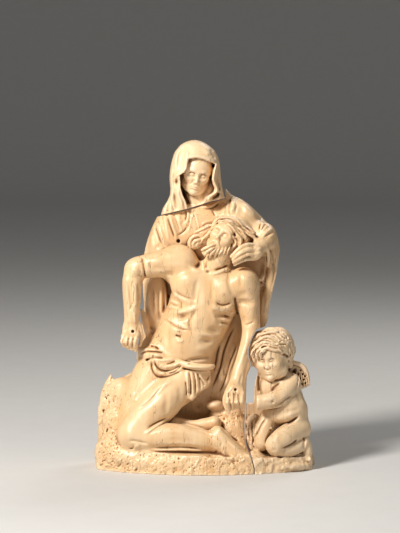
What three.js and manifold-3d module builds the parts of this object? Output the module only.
// Ivory group in high relief with a flat back: a seated mourner holds a dead man, and a cherub kneels beside them.
// It is three carved pieces, glued at two dark seams: the main block, the mourner's veiled head, and the cherub.
// Millimetres, +Z up. The front faces -Y, and the origin is the middle of the underside.
import * as THREE from "three";
import { mergeVertices } from "three/addons/utils/BufferGeometryUtils.js";
import Module from "manifold-3d";

const wasm = await Module();
wasm.setup();

// Driving dimensions of the relief.
const DEPTH = 44;
const BASE_WIDTH = 108;
const BASE_ARC_RADIUS = 92;
const BASE_CORNER = 9;
const BASE_HEIGHT = 8;
const SEAM_GAP = 0.4;

// How finely the facets follow the carving.
const THIN_SIDES = 5;
const BALL_SIDES = 8;
const DOME_ANGLE = THREE.MathUtils.degToRad(50);

// Every place below is [across, up, depth] as the front view shows it, with the depth counted from the
// plane PLANE behind the middle of the base. This is that view: how far off the eye is, how far it looks
// down, and the point that it faces.
const PLANE = 6;
const BACK = DEPTH / 2 - PLANE;
const EYE_DISTANCE = 1200;
const EYE_TILT = THREE.MathUtils.degToRad(5);
const AIM = { across: -2.5, up: 104.25, height: 100.9 };

// Turns a place in the front view into a real point, by undoing the view's tilt and perspective.
function stand(point) {
  const right = point.x - AIM.across;
  const above = point.z - AIM.up;
  const sin = Math.sin(EYE_TILT);
  const cos = Math.cos(EYE_TILT);
  const reach =
    (point.y + EYE_DISTANCE * cos) / (above * sin + EYE_DISTANCE * cos);
  return new THREE.Vector3(
    AIM.across + reach * right,
    point.y + PLANE,
    AIM.height + EYE_DISTANCE * sin + reach * (above * cos - EYE_DISTANCE * sin),
  );
}

const at = ([across, up, depth]) => new THREE.Vector3(across, depth, up);

// Closed solids from three.js geometry, and what joins and cuts them.
function solid(geometry, moved = stand) {
  const plain = new THREE.BufferGeometry();
  const source = geometry.index ? geometry.toNonIndexed() : geometry;
  plain.setAttribute("position", source.getAttribute("position").clone());
  const merged = mergeVertices(plain, 1e-3);
  const positions = merged.getAttribute("position");
  const point = new THREE.Vector3();
  for (let i = 0; i < positions.count; i++) {
    const stood = moved(point.fromBufferAttribute(positions, i));
    positions.setXYZ(i, stood.x, stood.y, stood.z);
  }
  const made = new wasm.Manifold(
    new wasm.Mesh({
      numProp: 3,
      vertProperties: positions.array,
      triVerts: new Uint32Array(merged.index.array),
    }),
  );
  return made;
}

const joined = (solids) => solids.reduce((whole, part) => whole.add(part));

// An ellipsoid: its middle, its half sizes across, up and deep, and its lean in the front view.
function ball(middle, [across, up, deep], lean = 0, detail = BALL_SIDES) {
  const geometry = new THREE.SphereGeometry(1, detail, Math.round(detail * 0.7));
  geometry.scale(across, up, deep);
  geometry.rotateX(Math.PI / 2);
  geometry.rotateY(-THREE.MathUtils.degToRad(lean));
  geometry.translate(...at(middle).toArray());
  return solid(geometry);
}

// A turned spindle with round ends, bent along a smooth curve: limbs, fingers, locks and folds of cloth.
// Each stop is [across, up, depth, radius]. A flatness under 1 makes its section an ellipse, thinner in depth.
// The ends are domed, and the thin ones, with few sides, are pointed.
function limb(stops, sides = THIN_SIDES, ringsPerStop = 1, flatness = 1) {
  const curve = new THREE.CatmullRomCurve3(stops.map(at), false, "centripetal");
  const radii = stops.map((stop) => stop[3]);
  const rings = (stops.length - 1) * ringsPerStop;
  const length = curve.getLength();
  const radiusAt = (share) => {
    const place = share * (radii.length - 1);
    const before = Math.min(Math.floor(place), radii.length - 2);
    return THREE.MathUtils.lerp(radii[before], radii[before + 1], place - before);
  };
  const first = radii[0];
  const last = radii[radii.length - 1];
  const dome = [Math.sin(DOME_ANGLE), Math.cos(DOME_ANGLE) / length];
  const profile = [new THREE.Vector2(0, -first / length)];
  if (sides > THIN_SIDES)
    profile.push(new THREE.Vector2(first * dome[0], -first * dome[1]));
  for (let ring = 0; ring <= rings; ring++)
    profile.push(new THREE.Vector2(radiusAt(ring / rings), ring / rings));
  if (sides > THIN_SIDES)
    profile.push(new THREE.Vector2(last * dome[0], 1 + last * dome[1]));
  profile.push(new THREE.Vector2(0, 1 + last / length));
  const viewDepth = new THREE.Vector3(0, 1, 0);
  return solid(new THREE.LatheGeometry(profile, sides), (point) => {
    const share = THREE.MathUtils.clamp(point.y, 0, 1);
    const along = curve.getTangent(share);
    const side = new THREE.Vector3().crossVectors(viewDepth, along).normalize();
    const out = new THREE.Vector3().crossVectors(along, side);
    const bent = curve
      .getPoint(share)
      .addScaledVector(along, (point.y - share) * length)
      .addScaledVector(side, point.z)
      .addScaledVector(out, point.x * flatness);
    return stand(bent);
  });
}

// A flat piece: a smooth closed outline of [across, up] points, from one depth to another.
function slab(outline, near, far, steps = outline.length * 2, smooth = true) {
  const points = outline.map(([across, up]) => new THREE.Vector3(across, up, 0));
  const rounded = new THREE.CatmullRomCurve3(points, true, "centripetal");
  const rim = smooth ? rounded.getPoints(steps).slice(0, -1) : points;
  const shape = new THREE.Shape(rim.map((p) => new THREE.Vector2(p.x, p.y)));
  const geometry = new THREE.ExtrudeGeometry(shape, {
    depth: far - near,
    bevelEnabled: false,
    curveSegments: 1,
  });
  return solid(geometry, (point) =>
    stand(new THREE.Vector3(point.x, far - point.z, point.y)),
  );
}

// The side of a seam that a piece keeps: a straight-edged outline, cut through the whole depth.
const region = (outline) => slab(outline, -DEPTH, DEPTH, 0, false);

// The flat-bottomed base, straight behind and bowed in front as the tusk was.
function base() {
  const side = BASE_WIDTH / 2;
  const front = -DEPTH / 2;
  const back = DEPTH / 2;
  const edge = side - BASE_CORNER;
  const bow = (x) =>
    front + BASE_ARC_RADIUS - Math.sqrt(BASE_ARC_RADIUS ** 2 - x ** 2);
  const cornerStart = BASE_CORNER;
  const cornerPull = bow(edge) + 2;
  const plan = new THREE.Shape();
  plan.moveTo(-side, back);
  plan.lineTo(-side, cornerStart);
  plan.quadraticCurveTo(-side, cornerPull, -edge, bow(edge));
  const stations = 8;
  for (let station = 1; station <= stations; station++) {
    const x = -edge + (2 * edge * station) / stations;
    plan.lineTo(x, bow(x));
  }
  plan.quadraticCurveTo(side, cornerPull, side, cornerStart);
  plan.lineTo(side, back);
  const geometry = new THREE.ExtrudeGeometry(plan, {
    depth: BASE_HEIGHT,
    bevelEnabled: false,
    curveSegments: 4,
  });
  return solid(geometry, (point) => point.clone());
}

// The rocky ground: the base, the mound behind the knees, and the split stone at the left edge.
function ground() {
  const mound = slab(
    [[-47, 3], [-47, 30], [-45, 46], [-38, 50.3], [-30, 52], [-22, 40], [-20, 3]],
    -1,
    BACK,
    14,
  );
  const stone = slab(
    [[-52.2, 4], [-52.8, 20], [-52.2, 36], [-50, 45.3], [-47, 50.3], [-45.6, 46], [-46, 20], [-45, 4]],
    1,
    BACK,
    18,
  );
  return joined([
    base(),
    mound,
    stone,
    ball([-43, 14, -7], [8.5, 14, 10], 8),
    ball([-41, 31, -3], [9, 16, 9], 12),
    ball([14, 20, -3], [11, 12, 8]),
  ]);
}

// The mourner: her mantle's outline against the flat back, the body in it, and its larger folds.
function mantle() {
  const outline = [
    [-20, 135], [-26, 122], [-30, 112], [-31.5, 104], [-31, 92], [-29.5, 80], [-28, 71],
    [-32, 60], [-34, 48], [-30, 5], [28, 5], [28, 40], [28, 68], [29.5, 74.5], [31.8, 83],
    [34, 93], [35.5, 103], [36.5, 112], [35, 121], [28.5, 129], [18, 137], [13, 140.3],
    [8, 143], [-6, 141],
  ];
  const folds = [
    [[-21.5, 127, -1, 1.9], [-24.5, 117, -4, 2.4], [-25, 110, -5, 2.6]],
    [[-17, 130, -4, 1.8], [-17.5, 121, -7, 2], [-17, 114, -8, 2]],
    [[-12, 130, -5, 1.8], [-12.5, 122, -8, 1.8]],
    [[-27, 98, 0, 2.5], [-27.5, 86, 0, 2.5], [-25, 74, 0, 2]],
    [[-20, 98, 0, 2.5], [-23, 76, 0, 2]],
    [[9, 75, 2, 2.2], [11, 60, 2, 2.4], [4, 44, 1, 2.2]],
    [[17, 72, 2, 2.2], [15, 58, 2, 2.2], [8, 42, 1, 2]],
    [[12, 136, -2, 3], [14, 130, -6, 3], [13, 126, -8, 2]],
    [[21, 132, -3, 3], [25, 127, -6, 2.5], [26.5, 120, -8, 2]],
    [[31, 119, -8, 2.5], [34, 108, -7, 2.4], [31.8, 94, -6, 2.2], [28, 80, -3, 2]],
  ];
  const fingers = [0, 1, 2, 3].map((finger) => {
    const drop = 1.9 * finger;
    return limb([[21, 112.6 - drop, -19, 1.5], [16, 112 - drop, -20, 1.4], [13.5, 110.5 - drop, -19, 1.1]]);
  });
  return joined([
    slab(outline, 3, BACK, 42),
    ball([-2, 121, 3], [19, 15, 9], 0, 10),
    ball([16, 126, 0], [12, 11, 8.5], 0, 10),
    ball([31.2, 117, -3], [5.5, 8, 8]),
    ball([-18, 112, 1], [10, 16, 8.5], -15),
    limb([[29, 116.5, -8, 5], [26, 112.5, -14, 4.3], [22.5, 110, -17, 4.3]], 8),
    ...fingers,
    ...folds.map((stops) => limb(stops)),
  ]);
}

// The dead man, leaning back across the mourner's knees with his legs folded under him.
function trunk() {
  const spine = [
    [-15, 54, -5, 16.5], [-10, 66, -7, 16], [-3.5, 77, -8, 16], [-0.5, 88, -8, 17], [3, 97, -7, 14.5],
  ];
  return joined([
    limb(spine, 14, 1, 0.68),
    ball([-7, 94, -10], [10.5, 9, 9.6], 15, 11),
    ball([10, 90.5, -10], [9.5, 9.5, 9.6], -20, 11),
    ball([-13, 107, -9], [9, 8, 8]),
    ball([19.5, 94, -10], [7.5, 8, 8.5]),
    ball([4, 101, -8], [13, 6, 7.5], -12),
    limb([[3, 101, -9, 6.5], [7, 110, -12, 6.2]], 8),
  ]);
}

function deadHead() {
  const locks = [
    [[6, 127.5, -17, 2.6], [15, 126.5, -18, 2.8], [21.5, 119.5, -17, 2.2]],
    [[13, 129, -12, 2.6], [20.5, 126, -13, 2.6], [25, 119, -13, 2]],
    [[14, 122, -19, 2.4], [16.5, 117, -19.5, 2.2], [16, 112, -18, 1.6]],
    [[-4, 122.5, -13, 1.6], [1, 124.5, -17, 1.8]],
    [[-8, 114.5, -13, 2.6], [-6, 119, -15, 2.6], [-2.5, 116.5, -16, 2.4]],
  ];
  return joined([
    ball([7, 118.5, -15], [8.2, 10.2, 9.5], -25, 11),
    ball([2.8, 111.8, -19], [4, 3.6, 5]),
    ball([9, 109.8, -16.5], [5.5, 4, 5]),
    limb([[3.5, 122.5, -22.5, 1.3], [1.6, 118.8, -25, 1.7]]),
    ...locks.map((stops) => limb(stops)),
  ]);
}

// A hand: a flat palm and four fingers side by side, from the knuckles' line to the tips' line.
function hand(palm, palmSize, lean, knuckles, tips, thickness) {
  const fingers = [0, 1, 2, 3].map((finger) => {
    const from = at(knuckles[0]).lerp(at(knuckles[1]), finger / 3);
    const to = at(tips[0]).lerp(at(tips[1]), finger / 3);
    return limb([
      [from.x, from.z, from.y, thickness],
      [to.x, to.z, to.y, thickness * 0.85],
    ]);
  });
  return joined([ball(palm, palmSize, lean), ...fingers]);
}

function arms() {
  const farKnuckles = [[-40.2, 68.5, -14], [-33.5, 69.5, -14.5]];
  const farTips = [[-40.6, 64.5, -13], [-34.5, 62, -13]];
  const nearKnuckles = [[11.8, 39.5, -22], [19.2, 39.5, -21]];
  const nearTips = [[12, 34, -20], [18.2, 35.5, -18.5]];
  return joined([
    limb([[-11, 107, -10, 7.4], [-23, 105, -11, 6.7], [-33, 104, -12, 5.8]], 9),
    limb([[-35.5, 103.5, -12, 5.3], [-36.2, 94, -13, 5], [-36.3, 77, -13.5, 3.9]], 9),
    hand([-36.8, 72, -13.5], [4.9, 6.5, 3.4], 0, farKnuckles, farTips, 1.35),
    limb([[-32, 74, -14, 1.6], [-31, 68, -13, 1.4]]),
    limb([[20, 94, -11, 7.2], [21.5, 84, -9.5, 6.2], [22, 75, -9, 5]], 9),
    limb([[22, 73.5, -9, 4.9], [20.3, 62, -13, 4.1], [16, 45, -19.5, 3.9]], 8),
    hand([15.5, 41.5, -20.5], [4.5, 5, 3.4], 10, nearKnuckles, nearTips, 1.4),
  ]);
}

function legs() {
  const toes = [0, 1, 2, 3, 4].map((toe) => {
    const up = 8.6 - 1.5 * toe;
    return limb([[19, up + 0.8, -21, 1.2], [23 - 0.35 * toe, up, -22.5, 1.1]], 5);
  });
  return joined([
    limb([[-9, 49, -10, 10.3], [-22, 36.5, -15, 9], [-35, 21, -18, 8]], 11),
    limb([[-34, 19.2, -19, 6.9], [-17, 18.8, -20, 6.7], [3, 17, -19, 5.4]], 10),
    limb([[4, 18, -18, 6.4], [14, 12, -20, 5], [19, 8, -21, 3.6]], 8),
    ...toes,
    limb([[-21, 57, -5, 10.5], [-30, 40, -6, 10.3], [-35.5, 23, -9, 8.2]], 10),
    limb([[-30, 23, -6, 6], [4, 24, -8, 5]], 7),
    ball([5, 35, -6], [4.6, 2.9, 5]),
  ]);
}

// The cloth round his hips: a band across the belly, a swag at the hip, and a tail over the thigh.
function loincloth() {
  const folds = [
    [[-30, 66, -8, 2], [-24, 62, -15, 2], [-14, 57.5, -19, 1.8], [3, 54.5, -17.5, 1.7]],
    [[-30, 62, -9, 2], [-25.5, 58, -15, 2], [-20, 53, -18, 1.8], [-8, 54.5, -20, 1.6]],
    [[-27, 58, -13, 2], [-23.5, 50, -17, 1.9], [-12, 51, -20, 1.7]],
    [[-8, 52, -20, 1.7], [-7, 45, -21, 1.8], [-7.5, 38, -20, 1.5]],
    [[-5, 52, -20, 1.6], [-4, 38.5, -18.5, 1.5]],
    [[-2, 52, -19, 1.6], [1.5, 47, -18, 1.6], [3.5, 44.5, -15, 1.4]],
  ];
  return joined([
    ball([-3, 47, -12], [8, 8, 7]),
    ...folds.map((stops) => limb(stops)),
  ]);
}

// The mourner's veiled head, down to the seam across her neck.
function veil() {
  const outline = [
    [-25, 126], [-21.2, 133], [-18, 138.2], [-17.2, 142], [-17.3, 152], [-16, 161], [-11.5, 166.2],
    [-4.5, 167.3], [2, 165], [6, 159.5], [7.5, 152], [8.6, 143], [10.2, 136], [-6, 130],
  ];
  const hems = [
    [[-13, 150, -7, 1.6], [-7.5, 158.5, -12, 1.6], [0, 158, -12, 1.6], [5, 155.5, -9, 1.6], [4.2, 149, -7, 1.5]],
    [[-13.5, 149, -6, 1.8], [-12.5, 142, -6, 2], [-9.5, 134, -6, 2.2]],
    [[4.5, 149, -7, 1.6], [5.5, 144, -7, 1.6], [3, 138.5, -7, 1.8]],
  ];
  return joined([
    slab(outline, 2, 14, 26),
    ball([-4.8, 152, 1], [12, 14.8, 12.5], 0, 12),
    ball([-4.6, 148.5, -4.5], [7.2, 9.8, 7.5], -12, 10),
    ball([-3.5, 137, 0], [8, 8, 8]),
    ball([-11, 136, 3], [7, 10, 8]),
    limb([[-4.5, 149.5, -11.5, 1], [-4.2, 146, -13.5, 1.3]], 5),
    ...hems.map((stops) => limb(stops)),
  ]);
}

// The kneeling cherub on his own share of the ground.
function cherub() {
  const backing = [[16, 1], [16, 60], [20, 70], [32, 73.5], [39, 69], [42.5, 60], [44.5, 45], [48, 30], [49, 1]];
  const wing = [
    [41, 57], [46, 56.6], [49, 54.6], [51, 51.6], [52, 45.5], [50.5, 43.6], [47.5, 43.2], [46, 47], [41, 50],
  ];
  const curls = [
    [[26, 66, -17, 2.4], [31, 69, -20, 2.4], [37, 68.5, -21, 2.2]],
    [[24, 62, -15, 2.2], [25.8, 56, -17.5, 1.8]],
    [[38, 66.5, -19.5, 2.2], [42, 63, -16, 2.2], [43, 60, -13, 1.8]],
  ];
  return joined([
    base(),
    slab(backing, 4, BACK, 18),
    slab(wing, 1, 6, 14),
    ball([34.5, 63, -10], [9.8, 10.6, 10.5], 0, 12),
    ball([33.5, 56, -13.5], [7.8, 8, 7.5], 0, 10),
    limb([[31, 56, -20, 0.9], [30.6, 54, -21.5, 1.1]], 5),
    ball([38, 42, -8], [9.2, 12, 8.5]),
    ball([41, 33, -7], [9.8, 10.5, 10]),
    ball([43.5, 26, -5], [8, 9, 10]),
    limb([[43.5, 47, -9, 4.8], [40, 40.5, -15, 4.7], [28.5, 36.5, -19, 3.7]], 8),
    limb([[43, 24, -12, 7.2], [38, 20, -17, 6.5], [34, 14.5, -18, 5.2]], 9),
    limb([[36, 12.5, -16, 4], [48, 14.5, -4, 4]], 7),
    limb([[48, 18, -2, 2.8], [50.3, 8, -4, 2.4]]),
    limb([[32, 28, -8, 5.2], [28, 15, -13, 4.2]], 7),
    ball([37, 6, -6], [12, 5, 11]),
    ball([27, 20, 0], [7, 12, 8]),
    ...curls.map((stops) => limb(stops)),
  ]);
}

// Seams, as [across, up] points in the front view.
const NECK_SEAM = [[-40, 125.3], [-22.5, 129.7], [-7.5, 133.2], [2.5, 136.5], [10.4, 138.4], [9.8, 141]];
const CHERUB_SEAM = [
  [24.8, -5], [24.6, 3.5], [23.5, 7.5], [22.2, 11], [21, 14], [20.2, 17.5], [20, 25], [20.3, 32],
  [21, 44], [23, 54], [21.7, 59.5], [21.6, 62.5], [22.5, 66], [24, 69.5], [26, 73], [30.5, 74],
];
const SEEN_TOP = 180;
const SEEN_RIGHT = 70;
const shifted = (seam, across, up) => seam.map(([x, z]) => [x + across, z + up]);
const aboveNeck = (gap) =>
  region([...shifted(NECK_SEAM, 0, gap), [9.8, SEEN_TOP], [-40, SEEN_TOP]]);
const besideCherub = (gap) =>
  region([[SEEN_RIGHT, -5], [SEEN_RIGHT, 76], ...shifted(CHERUB_SEAM, gap, 0).reverse()]);

// The gap that shows between the hanging wrist and the cherub's chest.
const wristGap = slab(
  [[20.6, 36], [21, 50], [24.2, 54.5], [26.4, 52.5], [24.8, 45], [24, 36]],
  -DEPTH,
  DEPTH,
);

const wholeMain = joined([ground(), mantle(), trunk(), deadHead(), arms(), legs(), loincloth()]);
const aboveGround = solid(
  new THREE.BoxGeometry(BASE_WIDTH, DEPTH, SEEN_TOP).translate(0, 0, SEEN_TOP / 2),
  (point) => point.clone(),
);
const pieces = {
  main_block: wholeMain
    .subtract(aboveNeck(-SEAM_GAP / 2))
    .subtract(besideCherub(-SEAM_GAP / 2))
    .subtract(wristGap),
  veiled_head: veil().intersect(aboveNeck(SEAM_GAP / 2)),
  kneeling_cherub: cherub().intersect(besideCherub(SEAM_GAP / 2)).subtract(wristGap),
};

const ivory = {
  main_block: new THREE.MeshStandardMaterial({ color: 0xd9bd8c, roughness: 0.42, metalness: 0 }),
  veiled_head: new THREE.MeshStandardMaterial({ color: 0xdfc59a, roughness: 0.4, metalness: 0 }),
  kneeling_cherub: new THREE.MeshStandardMaterial({ color: 0xd4b585, roughness: 0.45, metalness: 0 }),
};

function meshOf(name, piece) {
  const kept = piece
    .intersect(aboveGround)
    .decompose()
    .reduce((most, part) => (part.volume() > most.volume() ? part : most));
  const { numProp, vertProperties, triVerts } = kept.getMesh();
  const corners = new Float32Array((vertProperties.length / numProp) * 3);
  for (let i = 0; i < corners.length / 3; i++)
    corners.set(vertProperties.subarray(i * numProp, i * numProp + 3), i * 3);
  const geometry = new THREE.BufferGeometry();
  geometry.setAttribute("position", new THREE.BufferAttribute(corners, 3));
  geometry.setIndex(new THREE.BufferAttribute(triVerts, 1));
  const mesh = new THREE.Mesh(geometry, ivory[name]);
  mesh.name = name;
  return mesh;
}

const group = new THREE.Group();
for (const [name, piece] of Object.entries(pieces)) group.add(meshOf(name, piece));

export default group;
